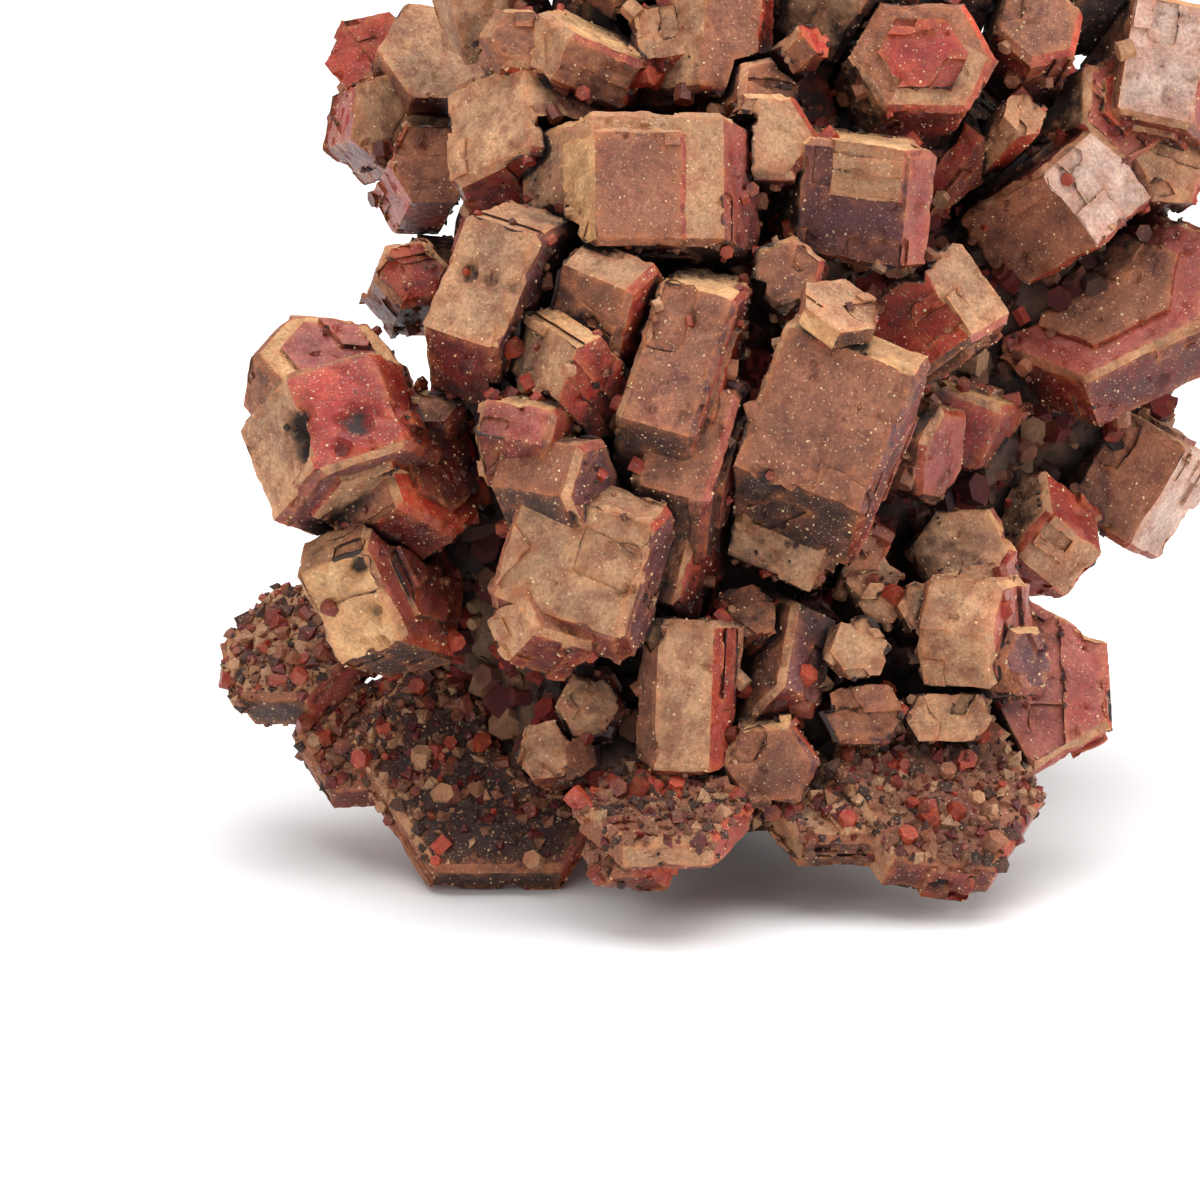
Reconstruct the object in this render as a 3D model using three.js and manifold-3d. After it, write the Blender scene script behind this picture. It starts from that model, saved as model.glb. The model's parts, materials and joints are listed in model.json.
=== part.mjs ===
// Vanadinite on matrix: six-sided crystals grown in groups over a lump of rock.
// Millimetres, +Z up. The origin is the middle of the flat underside of the rock.
import * as THREE from 'three';
import { mergeVertices } from 'three/addons/utils/BufferGeometryUtils.js';
import Module from 'manifold-3d';

const wasm = await Module();
wasm.setup();

// The front of the specimen leans back. Crystals are placed in a frame that leans with it:
// x to the right, y up the leaning front, z out of it. FRONT_ORIGIN is that frame's zero point.
const FRONT_LEAN = 15;
const FRONT_ORIGIN = new THREE.Vector3(-7.5, -24.5, 17);

// Clear gap between neighbouring pieces.
const GAP = 0.3;

// Every crystal is a six-sided prism. All but the plain ones have narrow slanted edges around both ends.
const EDGE_SLANT = 0.35;
const EDGE_SLANT_MIN_SIDE = 1.8;

// Raised growth terraces on the crystal ends.
const TERRACE_HEIGHT = 0.3;
const TERRACE_SHARE = 0.62;
const TERRACE_SHIFT = 0.12;
const TERRACE_MIN_SIDE = 3;
const TERRACE_MIN_LENGTH = 3.5;

// The rock: lumpy ellipsoids, broken along flat planes at the rear and sides and cut flat underneath.
// A break is given by the way it faces and its distance from the middle of its ellipsoid.
const ROCK_LOBES = [
  {
    centre: [1.5, 3.5, 16.5],
    radii: [17, 14, 22.5],
    detail: 3,
    breaks: [
      { facing: [0.1, 1, 0.1], reach: 11.6 },
      { facing: [0.8, 0.6, 0.15], reach: 12.6 },
      { facing: [-0.75, 0.65, 0.1], reach: 12 },
      { facing: [0.25, 0.75, 0.65], reach: 13.6 },
      { facing: [-0.35, 0.6, 0.7], reach: 13.8 },
      { facing: [0.5, 0.8, -0.4], reach: 12.8 },
      { facing: [-0.4, 0.85, -0.4], reach: 12.2 },
      { facing: [0.95, -0.2, -0.35], reach: 14.2 },
      { facing: [-0.85, 0.2, 0.5], reach: 15.6 },
    ],
  },
  {
    centre: [-6.5, -7.5, 14],
    radii: [12, 10.5, 16],
    detail: 2,
    breaks: [
      { facing: [-0.9, 0.3, 0.2], reach: 10.2 },
      { facing: [-0.7, -0.5, -0.5], reach: 10.6 },
    ],
  },
  {
    centre: [15, 5, 24],
    radii: [10, 8.5, 12],
    detail: 2,
    breaks: [
      { facing: [0.3, 1, 0.15], reach: 6.6 },
      { facing: [0.8, 0.5, -0.4], reach: 8 },
      { facing: [0.4, 0.6, 0.7], reach: 8.6 },
    ],
  },
  {
    centre: [-1, 1, 35.5],
    radii: [13, 6, 7],
    detail: 2,
    breaks: [
      { facing: [0.1, 0.8, 0.6], reach: 5.2 },
      { facing: [-0.8, 0.4, 0.3], reach: 12.5 },
    ],
  },
  {
    centre: [0.5, -14.5, 7.5],
    radii: [14, 5.5, 5],
    detail: 2,
    breaks: [
      { facing: [0.2, -0.6, -0.8], reach: 4.6 },
    ],
  },
];
const ROCK_LUMPS = 26;
const ROCK_LUMP_HEIGHT = 0.075;
const ROCK_LUMP_SHARPNESS = 14;
const ROCK_CUT_SIZE = 120;

// Crystals over the top and sides, which grow straight out of the rock. The rear stays bare rock.
// Directions are shares of a unit vector from the middle of the rock.
const CRUST_COUNT = 64;
const CRUST_LOWEST = -0.4;
const CRUST_REARMOST = 0.35;
const CRUST_SIDE_RANGE = [2.4, 4.4];
const CRUST_SIDE_VARIATION = [0.7, 1.1];
const CRUST_LENGTH_RANGE = [5, 9];
const CRUST_TILT = 0.7;
const CRUST_SINK = 0.25;
const CRUST_CROWDING = 0.35;
const CRUST_FRONT_LIMIT = -6.5;
const CRUST_LEFT_LIMIT = -18.5;
const CRUST_RIGHT_LIMIT = 29.5;
const CRUST_LOW_RIGHT_LIMIT = 15.5;
const CRUST_LOW_HEIGHT = 16;
const CROWN_RISE = 0.6;
const SIDE_REACH = 0.75;
const GOLDEN_ANGLE = Math.PI * (3 - Math.sqrt(5));

// Slivers below this volume in cubic millimetres are left off.
const SMALLEST_PIECE = 4;

const CRYSTAL_ROUGHNESS = 0.6;
const ROCK_ROUGHNESS = 0.95;

// A repeatable random sequence.
const SEED = 29;
const RANDOM_FACTOR = 1664525;
const RANDOM_STEP = 1013904223;
const RANDOM_RANGE = 4294967296;

const COLOURS = {
  tan: '#a98463',
  red: '#8c3527',
  brown: '#8a6248',
  pink: '#b3857d',
  rock: '#6b5647',
};

// Each crystal: centre, heading of its long axis (turn to the right of straight out, rise above it),
// spin about that axis, its three side lengths, and its length along the axis.
const LEFT_CLUSTER = [
  { at: [-14.2, 11, -8.1], turn: 14, rise: 47, spin: -6, sides: [4, 4.2, 4], length: 4 },
  { at: [-13.2, 8, -5.2], turn: 44, rise: -60, spin: -21, sides: [3.8, 4.6, 5.2], length: 6 },
  { at: [-9.9, 5.9, -6.6], turn: 42, rise: 22, spin: -27, sides: [3.8, 3.9, 4.1], length: 5.2 },
  { at: [-10.1, 16.3, -11.4], turn: 10, rise: 15, spin: 10, sides: [2.1, 2.1, 2.1], length: 5 },
  { at: [-8.2, 9, -7.1], turn: -10, rise: 30, spin: 0, sides: [1.6, 1.6, 1.6], length: 5 },
];

const LOW_LEFT_CRYSTAL = [
  { at: [-11.2, 1, -7.2], turn: 61, rise: 18, spin: -10, sides: [4.6, 4.9, 5.2], length: 4.5 },
];

const LEFT_BLOCK = [
  { at: [-4.9, 15.1, -5.3], turn: -112, rise: 18, spin: -15, sides: [4.5, 4.5, 6.2], length: 4.4 },
];

const FRONT_STACK = [
  { at: [0.7, 13.9, -4.5], turn: 59, rise: -21, spin: -21, sides: [4.5, 2.4, 4.9], length: 4.6 },
  { at: [-1.5, 11.5, -2.6], turn: 38, rise: -23, spin: 24, sides: [1.4, 3, 3.5], length: 4.8 },
  { at: [-3.4, 8, -2.3], turn: 68, rise: -10, spin: 13, sides: [3.3, 1.9, 3.5], length: 4.2 },
  { at: [-2.1, 5.5, -1.5], turn: 55, rise: -8, spin: 12, sides: [2.2, 2.7, 3.8], length: 5 },
  { at: [-0.8, 1.9, -1.5], turn: 72, rise: -18, spin: -29, sides: [2.6, 2.4, 5.8], length: 7.4 },
  { at: [4.2, 11.2, -4], turn: 81, rise: -16, spin: 16, sides: [4.7, 7.4, 4.5], length: 4.2 },
  { at: [4.6, 6.9, -3.9], turn: 80, rise: -14, spin: 15, sides: [3.2, 5.8, 4.5], length: 4 },
  { at: [3.8, 2.8, -5.6], turn: 69, rise: -16, spin: -23, sides: [4.5, 2.3, 5.8], length: 4 },
  { at: [-2.3, -0.9, -2.6], turn: -152, rise: -26, spin: 17, sides: [3.2, 2.5, 2.9], length: 4 },
];

const BARREL_CRYSTAL = [
  { at: [2.1, 20.6, -7.5], turn: 0, rise: -80, spin: -3, sides: [6.8, 6.4, 4.2], length: 7 },
  { at: [1.8, 20.5, -5], turn: 0, rise: -80, spin: -3, sides: [4.4, 3, 3], length: 6.2 },
];

const UPPER_RIGHT_CRYSTAL = [
  { at: [13.1, 20.8, -8.2], turn: 22, rise: 76, spin: 21, sides: [1.9, 4.5, 5.6], length: 6.2 },
  { at: [13.8, 22.2, -6.6], turn: 22, rise: 76, spin: 21, sides: [1.4, 3, 3.7], length: 2.8 },
  { at: [8.3, 23.2, -8.9], turn: 8, rise: 12, spin: 0, sides: [2.6, 2.6, 2.6], length: 6 },
  { at: [7.6, 25.7, -10.1], turn: 30, rise: 15, spin: 15, sides: [2, 2, 2], length: 5 },
];

const RIGHT_COLUMN = [
  { at: [11.4, 8.3, -3.7], turn: 82, rise: -22, spin: 26, sides: [2.6, 7.4, 5], length: 7.4 },
  { at: [10, 4.4, -7.6], turn: 84, rise: -23, spin: -8, sides: [4, 4, 4], length: 5.6 },
  { at: [17, 14.5, -10], turn: 84, rise: -56, spin: -12, sides: [4.2, 3.2, 4.4], length: 5 },
  { at: [11.9, 14.4, -0.9], turn: 25, rise: 40, spin: 10, sides: [2.2, 1.9, 2.2], length: 1.2 },
  { at: [9.5, 16.2, -6.5], turn: 0, rise: 10, spin: 20, sides: [2.1, 2.1, 2.1], length: 5 },
  { at: [13.5, 8.9, -5.1], turn: 55, rise: 10, spin: 10, sides: [1.3, 1.3, 1.3], length: 4 },
  { at: [16.4, 8, -11], turn: 64, rise: -17, spin: -4, sides: [3.5, 2.6, 3.2], length: 3.6 },
];

const TOP_CRYSTALS = [
  { at: [-3.6, 23.9, -10.5], turn: 6, rise: -63, spin: -15, sides: [4, 5.1, 3], length: 6 },
  { at: [-0.6, 28, -9.4], turn: 57, rise: 59, spin: 16, sides: [3, 3, 4], length: 3 },
  { at: [-4.3, 28.4, -10.4], turn: 5, rise: 15, spin: 0, sides: [1.9, 1.9, 1.9], length: 5 },
  { at: [6.1, 29, -10.5], turn: -37, rise: -82, spin: 8, sides: [3, 3, 3], length: 6.5 },
  { at: [3.9, 28.6, -11.4], turn: 84, rise: 10, spin: 10, sides: [3, 3, 3], length: 4 },
  { at: [9.5, 27.6, -9.5], turn: 45, rise: 30, spin: 0, sides: [1.2, 1.2, 1.2], length: 5 },
  { at: [16.4, 27.6, -11.9], turn: 8, rise: 10, spin: 0, sides: [4.4, 3.4, 3.4], length: 6 },
  { at: [22.6, 29.4, -15.8], turn: 10, rise: 20, spin: 15, sides: [2.6, 2.6, 2.6], length: 6 },
];

const CREST_CRYSTALS = [
  { at: [-5.8, 32.2, -13.5], turn: -20, rise: 55, spin: 10, sides: [3, 3.2, 2.8], length: 6 },
  { at: [0.8, 32.6, -13], turn: 20, rise: 60, spin: 10, sides: [3.4, 3, 3.6], length: 6 },
  { at: [7.4, 33, -14], turn: -35, rise: 40, spin: 25, sides: [3.6, 3.4, 3], length: 6.5 },
  { at: [13, 32.2, -13], turn: 40, rise: 50, spin: 0, sides: [3.2, 3.2, 3.6], length: 6 },
  { at: [19.6, 33, -16], turn: -15, rise: 35, spin: 15, sides: [3.6, 3, 3.4], length: 6.5 },
  { at: [25.6, 33.4, -19], turn: 25, rise: 45, spin: 5, sides: [3.4, 3.6, 3.2], length: 6 },
];

const FAR_LEFT_CRYSTALS = [
  { at: [-11.5, 28.9, -25.3], turn: -15, rise: 10, spin: 10, sides: [2.6, 2.6, 2.6], length: 7 },
  { at: [-9.2, 28.1, -23.1], turn: 10, rise: 25, spin: 0, sides: [3.4, 3.4, 3.4], length: 7 },
  { at: [-11.6, 25.8, -23.4], turn: 15, rise: 0, spin: 20, sides: [3, 3, 3], length: 7 },
  { at: [-9.5, 22.6, -20.4], turn: 10, rise: 10, spin: 0, sides: [2.4, 2.4, 2.4], length: 7 },
];

const RIGHT_CRYSTALS = [
  { at: [24.1, 21.4, -19.7], turn: -70, rise: 52, spin: -21, sides: [5.2, 5.9, 4.5], length: 5.5 },
  { at: [26.4, 25.8, -19.4], turn: 35, rise: 10, spin: 20, sides: [3.2, 3.2, 3.2], length: 6 },
  { at: [21.4, 24.6, -15.2], turn: 20, rise: 20, spin: 10, sides: [1.3, 1.3, 1.3], length: 5 },
  { at: [27.7, 15.3, -19.3], turn: -24, rise: 40, spin: -25, sides: [6, 7.2, 6.5], length: 4 },
  { at: [18.4, 10.4, -18.5], turn: 58, rise: 62, spin: 11, sides: [5.7, 5, 4.2], length: 4 },
  { at: [23.3, 3.5, -18.7], turn: -48, rise: 28, spin: 2, sides: [3.1, 3, 3.1], length: 5 },
  { at: [19, 1.7, -13.7], turn: -5, rise: 30, spin: 0, sides: [3, 3, 3], length: 4 },
  { at: [28.6, 6.8, -23.4], turn: 77, rise: 59, spin: -20, sides: [4, 4, 4], length: 6.5 },
  { at: [29.7, 28.1, -19.4], turn: -43, rise: -75, spin: 13, sides: [4, 4, 4], length: 7 },
  { at: [29.3, 23, -20.7], turn: 25, rise: 10, spin: 0, sides: [2.6, 2.6, 2.6], length: 6 },
];

const LEFT_FOOT_PLATES = [
  { at: [-5.9, -8.8, -12], turn: 2, rise: 30, spin: 0, sides: [6.6, 6.6, 8.6], length: 2.4 },
  { at: [-12.1, -7.6, -14], turn: -10, rise: 32, spin: 5, sides: [4.2, 3.6, 4], length: 2.4 },
  { at: [-16, -3, -16.1], turn: -30, rise: 35, spin: 0, sides: [4.2, 4, 4.4], length: 3 },
];

const FRONT_FOOT_PLATE = [
  { at: [3.2, -11, -2], turn: -3, rise: 60, spin: 4, sides: [4.6, 3.8, 4.4], length: 2 },
  { at: [1.6, -12.9, -2.6], turn: -30, rise: 12, spin: 12, sides: [1.8, 1.7, 1.9], length: 4 },
];

const RIGHT_FOOT_PLATE = [
  { at: [17.1, -10, -6.6], turn: 14, rise: 34, spin: -8, sides: [5.4, 5.6, 6], length: 3 },
  { at: [17.7, -13.6, -4.6], turn: 14, rise: 34, spin: -8, sides: [2.4, 1.2, 1.4], length: 2.6 },
  { at: [11.9, -10.5, -5.9], turn: 8, rise: 42, spin: 0, sides: [4.2, 3.6, 4], length: 2.4 },
];

const FAR_RIGHT_PLATE = [
  { at: [22.1, -4.5, -9.9], turn: 10, rise: 20, spin: 28, sides: [5, 4.6, 5], length: 2 },
];

const FRONT_PRISMS = [
  { at: [4.4, -4.9, -3.9], turn: 32, rise: 86, spin: 23, sides: [2.2, 2.2, 2.8], length: 8 },
  { at: [8.7, -3.4, -7.3], turn: -58, rise: 22, spin: -16, sides: [4.2, 3.7, 4.7], length: 3 },
  { at: [8.6, -8.2, -5], turn: 0, rise: -5, spin: 5, sides: [2.7, 2.4, 2.6], length: 4 },
  { at: [7.2, -1.8, -7.1], turn: 10, rise: 30, spin: 20, sides: [1.6, 1.6, 1.6], length: 5 },
  { at: [-2.5, -8.1, -6.9], turn: -10, rise: 10, spin: 10, sides: [1.6, 1.6, 1.6], length: 4 },
  { at: [-1.7, -8.3, -5.8], turn: 30, rise: 15, spin: 30, sides: [1, 1, 1], length: 3 },
  { at: [-0.4, -5.7, -7], turn: 0, rise: 10, spin: 0, sides: [1.9, 1.9, 1.9], length: 4 },
];

const LOW_RIGHT_BLOCKS = [
  { at: [12.4, -2.9, -6.3], turn: 20, rise: 10, spin: 5, sides: [1.7, 1.7, 1.7], length: 5 },
  { at: [16.3, -0.8, -7.4], turn: 5, rise: 12, spin: 0, sides: [1.4, 1.4, 1.4], length: 5 },
  { at: [19.1, -1.5, -6.7], turn: 72, rise: -5, spin: 4, sides: [5, 3, 3.3], length: 4.1 },
  { at: [20.3, -3.3, -6.9], turn: 40, rise: 5, spin: 0, sides: [2, 2, 2], length: 5 },
  { at: [13.5, -6.1, -6.5], turn: -5, rise: 10, spin: 0, sides: [2.8, 1.6, 1.6], length: 5 },
  { at: [17.6, -6, -7.5], turn: 5, rise: 0, spin: 0, sides: [3.2, 1.4, 1.4], length: 5 },
  { at: [19.3, -0.4, -8.3], turn: 10, rise: 20, spin: 10, sides: [1.7, 1.7, 1.7], length: 5 },
  { at: [14.4, -0.6, -8.5], turn: 0, rise: 10, spin: 0, sides: [1.2, 1.2, 1.2], length: 5 },
  { at: [12.6, 2.5, -8.8], turn: 25, rise: 10, spin: 0, sides: [1.9, 1.9, 1.9], length: 4 },
  { at: [13.7, 0.5, -8.9], turn: 10, rise: 20, spin: 10, sides: [1.5, 1.5, 1.5], length: 4 },
];

// Groups in the order in which they keep their full shape where two meet.
const GROUPS = [
  { name: 'front_stack', crystals: FRONT_STACK, colour: COLOURS.tan },
  { name: 'left_block', crystals: LEFT_BLOCK, colour: COLOURS.tan },
  { name: 'left_cluster', crystals: LEFT_CLUSTER, colour: COLOURS.red },
  { name: 'low_left_crystal', crystals: LOW_LEFT_CRYSTAL, colour: COLOURS.tan },
  { name: 'barrel_crystal', crystals: BARREL_CRYSTAL, colour: COLOURS.brown },
  { name: 'upper_right_crystal', crystals: UPPER_RIGHT_CRYSTAL, colour: COLOURS.brown },
  { name: 'right_column', crystals: RIGHT_COLUMN, colour: COLOURS.tan },
  { name: 'front_foot_plate', crystals: FRONT_FOOT_PLATE, colour: COLOURS.brown },
  { name: 'right_foot_plate', crystals: RIGHT_FOOT_PLATE, colour: COLOURS.brown },
  { name: 'left_foot_plates', crystals: LEFT_FOOT_PLATES, colour: COLOURS.brown },
  { name: 'front_prisms', crystals: FRONT_PRISMS, colour: COLOURS.tan },
  { name: 'low_right_blocks', crystals: LOW_RIGHT_BLOCKS, colour: COLOURS.tan },
  { name: 'far_right_plate', crystals: FAR_RIGHT_PLATE, colour: COLOURS.pink },
  { name: 'top_crystals', crystals: TOP_CRYSTALS, colour: COLOURS.red },
  { name: 'crest_crystals', crystals: CREST_CRYSTALS, colour: COLOURS.red, plain: true },
  { name: 'right_crystals', crystals: RIGHT_CRYSTALS, colour: COLOURS.pink },
  { name: 'far_left_crystals', crystals: FAR_LEFT_CRYSTALS, colour: COLOURS.red, plain: true },
];

let randomState = SEED;
function random() {
  randomState = (randomState * RANDOM_FACTOR + RANDOM_STEP) % RANDOM_RANGE;
  return randomState / RANDOM_RANGE;
}

function between([low, high]) {
  return low + (high - low) * random();
}

// A closed geometry as a solid that can be joined and cut.
function solidOf(geometry) {
  const bare = geometry.index ? geometry.toNonIndexed() : geometry.clone();
  bare.deleteAttribute('normal');
  bare.deleteAttribute('uv');
  const merged = mergeVertices(bare, 1e-4);
  return new wasm.Manifold(new wasm.Mesh({
    numProp: 3,
    vertProperties: new Float32Array(merged.attributes.position.array),
    triVerts: new Uint32Array(merged.index.array),
  }));
}

function geometryOf(solid) {
  const mesh = solid.getMesh();
  const geometry = new THREE.BufferGeometry();
  geometry.setAttribute('position', new THREE.BufferAttribute(new Float32Array(mesh.vertProperties), 3));
  geometry.setIndex(new THREE.BufferAttribute(new Uint32Array(mesh.triVerts), 1));
  geometry.computeVertexNormals();
  return geometry;
}

// A hexagon with equal corner angles, walked side by side and centred on the axis.
function hexagon(sides) {
  const points = [new THREE.Vector2(0, 0)];
  for (let side = 0; side < 5; side += 1) {
    const angle = (side * Math.PI) / 3;
    const step = new THREE.Vector2(Math.cos(angle), Math.sin(angle)).multiplyScalar(sides[side % 3]);
    points.push(points[side].clone().add(step));
  }
  const centre = points[3].clone().multiplyScalar(0.5);
  return new THREE.Shape(points.map((point) => point.sub(centre)));
}

// One prism along z with slanted end edges.
function prismGeometry(sides, length, slant) {
  const geometry = new THREE.ExtrudeGeometry(hexagon(sides), {
    depth: length - 2 * slant,
    bevelEnabled: slant > 0,
    bevelThickness: slant,
    bevelSize: slant,
    bevelOffset: -slant,
    bevelSegments: 1,
  });
  geometry.translate(0, 0, -length / 2 + slant);
  return geometry;
}

// From the leaning front frame to the part's own frame.
const leanToPart = new THREE.Matrix4()
  .makeRotationX(THREE.MathUtils.degToRad(90 - FRONT_LEAN))
  .setPosition(FRONT_ORIGIN);

function crystalMatrix({ at, turn, rise, spin }) {
  const heading = new THREE.Euler(
    THREE.MathUtils.degToRad(-rise),
    THREE.MathUtils.degToRad(turn),
    THREE.MathUtils.degToRad(spin),
    'YXZ',
  );
  return new THREE.Matrix4().makeRotationFromEuler(heading).setPosition(...at).premultiply(leanToPart);
}

function slantOf({ sides, length, plain }) {
  return !plain && Math.min(...sides, length) > EDGE_SLANT_MIN_SIDE ? EDGE_SLANT : 0;
}

// The crystal made larger all round by the gap, to cut clear room for it.
function crystalRoom(crystal) {
  const sides = crystal.sides.map((side) => side + (2 * GAP) / Math.sqrt(3));
  const length = crystal.length + 2 * (GAP + TERRACE_HEIGHT);
  return solidOf(prismGeometry(sides, length, 0).applyMatrix4(crystal.matrix));
}

// A raised, slightly shifted plate on the outer end of a larger crystal.
function terrace(crystal) {
  const sides = crystal.sides.map((side) => side * TERRACE_SHARE);
  const geometry = prismGeometry(sides, crystal.length, 0);
  const shift = TERRACE_SHIFT * Math.min(...crystal.sides);
  geometry.translate(shift * (random() - 0.5), shift * (random() - 0.5), TERRACE_HEIGHT);
  return solidOf(geometry.applyMatrix4(crystal.matrix));
}

function crystalSolid(crystal) {
  const geometry = prismGeometry(crystal.sides, crystal.length, slantOf(crystal));
  const body = solidOf(geometry.applyMatrix4(crystal.matrix));
  const thick = Math.min(...crystal.sides) > TERRACE_MIN_SIDE && crystal.length > TERRACE_MIN_LENGTH;
  return thick && !crystal.plain ? body.add(terrace(crystal)) : body;
}

// Rises and hollows of the rock, by direction.
function rockLumps() {
  const lumps = [];
  for (let count = 0; count < ROCK_LUMPS; count += 1) {
    const z = 2 * random() - 1;
    const around = 2 * Math.PI * random();
    const flat = Math.sqrt(1 - z * z);
    const direction = new THREE.Vector3(flat * Math.cos(around), flat * Math.sin(around), z);
    lumps.push({ direction, height: (random() - 0.4) * 2 * ROCK_LUMP_HEIGHT });
  }
  return lumps;
}

// A large block that lies wholly outward of a plane through the point.
function cutBlock(outward, point) {
  const block = new THREE.BoxGeometry(ROCK_CUT_SIZE, ROCK_CUT_SIZE, ROCK_CUT_SIZE);
  block.translate(0, 0, ROCK_CUT_SIZE / 2);
  block.applyQuaternion(new THREE.Quaternion().setFromUnitVectors(new THREE.Vector3(0, 0, 1), outward));
  return solidOf(block.translate(point.x, point.y, point.z));
}

// The rock lump, made larger all round by the margin.
function rockSolid(lumps, margin) {
  const lobes = ROCK_LOBES.map(({ centre, radii, detail, breaks }) => {
    const middle = new THREE.Vector3(...centre);
    const reaches = new THREE.Vector3(...radii).addScalar(margin);
    const geometry = new THREE.IcosahedronGeometry(1, detail);
    const position = geometry.attributes.position;
    const point = new THREE.Vector3();
    for (let vertex = 0; vertex < position.count; vertex += 1) {
      point.fromBufferAttribute(position, vertex).normalize();
      let reach = 1;
      for (const { direction, height } of lumps) {
        reach += height * Math.exp(ROCK_LUMP_SHARPNESS * (point.dot(direction) - 1));
      }
      point.multiplyScalar(reach).multiply(reaches).add(middle);
      position.setXYZ(vertex, point.x, point.y, point.z);
    }
    return breaks.reduce((lobe, { facing, reach }) => {
      const outward = new THREE.Vector3(...facing).normalize();
      return lobe.subtract(cutBlock(outward, middle.clone().addScaledVector(outward, reach + margin)));
    }, solidOf(geometry));
  });
  return joined(lobes).subtract(cutBlock(new THREE.Vector3(0, 0, -1), new THREE.Vector3()));
}

// One crystal standing on the rock's main lobe in the given direction, or null where it may not grow.
function crustCrystal(direction) {
  const [lobe] = ROCK_LOBES;
  const length = between(CRUST_LENGTH_RANGE);
  const side = between(CRUST_SIDE_RANGE);
  const sides = [side, side * between(CRUST_SIDE_VARIATION), side * between(CRUST_SIDE_VARIATION)];
  const tilt = new THREE.Vector3(random() - 0.5, random() - 0.5, random() - 0.5).multiplyScalar(CRUST_TILT);
  const spin = random() * Math.PI;
  const axis = direction.clone().add(tilt).normalize();
  const foot = direction.clone().multiply(new THREE.Vector3(...lobe.radii));
  foot.add(new THREE.Vector3(...lobe.centre));
  const centre = foot.addScaledVector(axis, length * (0.5 - CRUST_SINK));
  const tip = centre.clone().addScaledVector(axis, length / 2);
  const rightLimit = tip.z < CRUST_LOW_HEIGHT ? CRUST_LOW_RIGHT_LIMIT : CRUST_RIGHT_LIMIT;
  if (tip.x < CRUST_LEFT_LIMIT || tip.x > rightLimit || tip.y < CRUST_FRONT_LIMIT) {
    return null;
  }
  const heading = new THREE.Quaternion().setFromUnitVectors(new THREE.Vector3(0, 0, 1), axis);
  heading.multiply(new THREE.Quaternion().setFromAxisAngle(new THREE.Vector3(0, 0, 1), spin));
  const matrix = new THREE.Matrix4().makeRotationFromQuaternion(heading).setPosition(centre);
  return { sides, length, matrix, plain: true };
}

function crustRegion(direction) {
  if (direction.z > CROWN_RISE) {
    return 'crown_crystals';
  }
  if (Math.abs(direction.x) > SIDE_REACH) {
    return direction.x < 0 ? 'left_side_crystals' : 'right_side_crystals';
  }
  return 'inner_crystals';
}

// Evenly spread directions, each with its crystal, gathered by region.
function crustGroups() {
  const regions = new Map();
  for (let count = 0; count < CRUST_COUNT; count += 1) {
    const z = 1 - (2 * (count + 0.5)) / CRUST_COUNT;
    const flat = Math.sqrt(1 - z * z);
    const around = count * GOLDEN_ANGLE;
    const direction = new THREE.Vector3(flat * Math.cos(around), flat * Math.sin(around), z);
    const grows = direction.z > CRUST_LOWEST && direction.y < CRUST_REARMOST;
    const crystal = grows && crustCrystal(direction);
    if (crystal) {
      const region = crustRegion(direction);
      regions.set(region, [...(regions.get(region) ?? []), crystal]);
    }
  }
  return [...regions].map(([name, crystals]) => ({ name, crystals, colour: COLOURS.red }));
}

function addPiece(group, name, solid, colour, roughness) {
  const material = new THREE.MeshStandardMaterial({ color: colour, roughness, metalness: 0 });
  const mesh = new THREE.Mesh(geometryOf(solid), material);
  mesh.name = name;
  group.add(mesh);
}

function joined(solids) {
  return solids.reduce((whole, next) => whole.add(next));
}

// Crust crystals grow only where most of their room is still free.
function hasRoom(crystal, occupied) {
  const room = crystalRoom(crystal);
  return room.intersect(occupied).volume() < CRUST_CROWDING * room.volume();
}

const specimen = new THREE.Group();
const lumps = rockLumps();
let occupied = rockSolid(lumps, GAP);
let crystalsOccupy = null;

// Adds one group: its crystals joined, clear of the rock and of the groups before it.
function addGroup({ name, crystals, colour }) {
  const solid = joined(crystals.map(crystalSolid)).subtract(occupied);
  const room = joined(crystals.map(crystalRoom));
  occupied = occupied.add(room);
  crystalsOccupy = crystalsOccupy ? crystalsOccupy.add(room) : room;
  const bodies = solid.decompose().filter((body) => body.volume() > SMALLEST_PIECE);
  bodies.forEach((body, index) => {
    const bodyName = bodies.length > 1 ? `${name}_${index + 1}` : name;
    addPiece(specimen, bodyName, body, colour, CRYSTAL_ROUGHNESS);
  });
}

addPiece(specimen, 'matrix', rockSolid(lumps, 0), COLOURS.rock, ROCK_ROUGHNESS);
for (const group of GROUPS) {
  addGroup({
    ...group,
    crystals: group.crystals.map((crystal) => (
      { ...crystal, plain: group.plain, matrix: crystalMatrix(crystal) }
    )),
  });
}
for (const group of crustGroups()) {
  const crystals = group.crystals.filter((crystal) => hasRoom(crystal, crystalsOccupy));
  if (crystals.length > 0) {
    addGroup({ ...group, crystals });
  }
}

export default specimen;
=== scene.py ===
# Vanadinite on matrix: the surface of every crystal and of the rock, with dust, soil and small crystals.
# Metres, in the same frame as the solids.
import json
import math
import random

import bmesh
import bpy
import numpy as np
from mathutils import Matrix, Quaternion, Vector, noise
from mathutils.bvhtree import BVHTree
from mathutils.kdtree import KDTree


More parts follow.
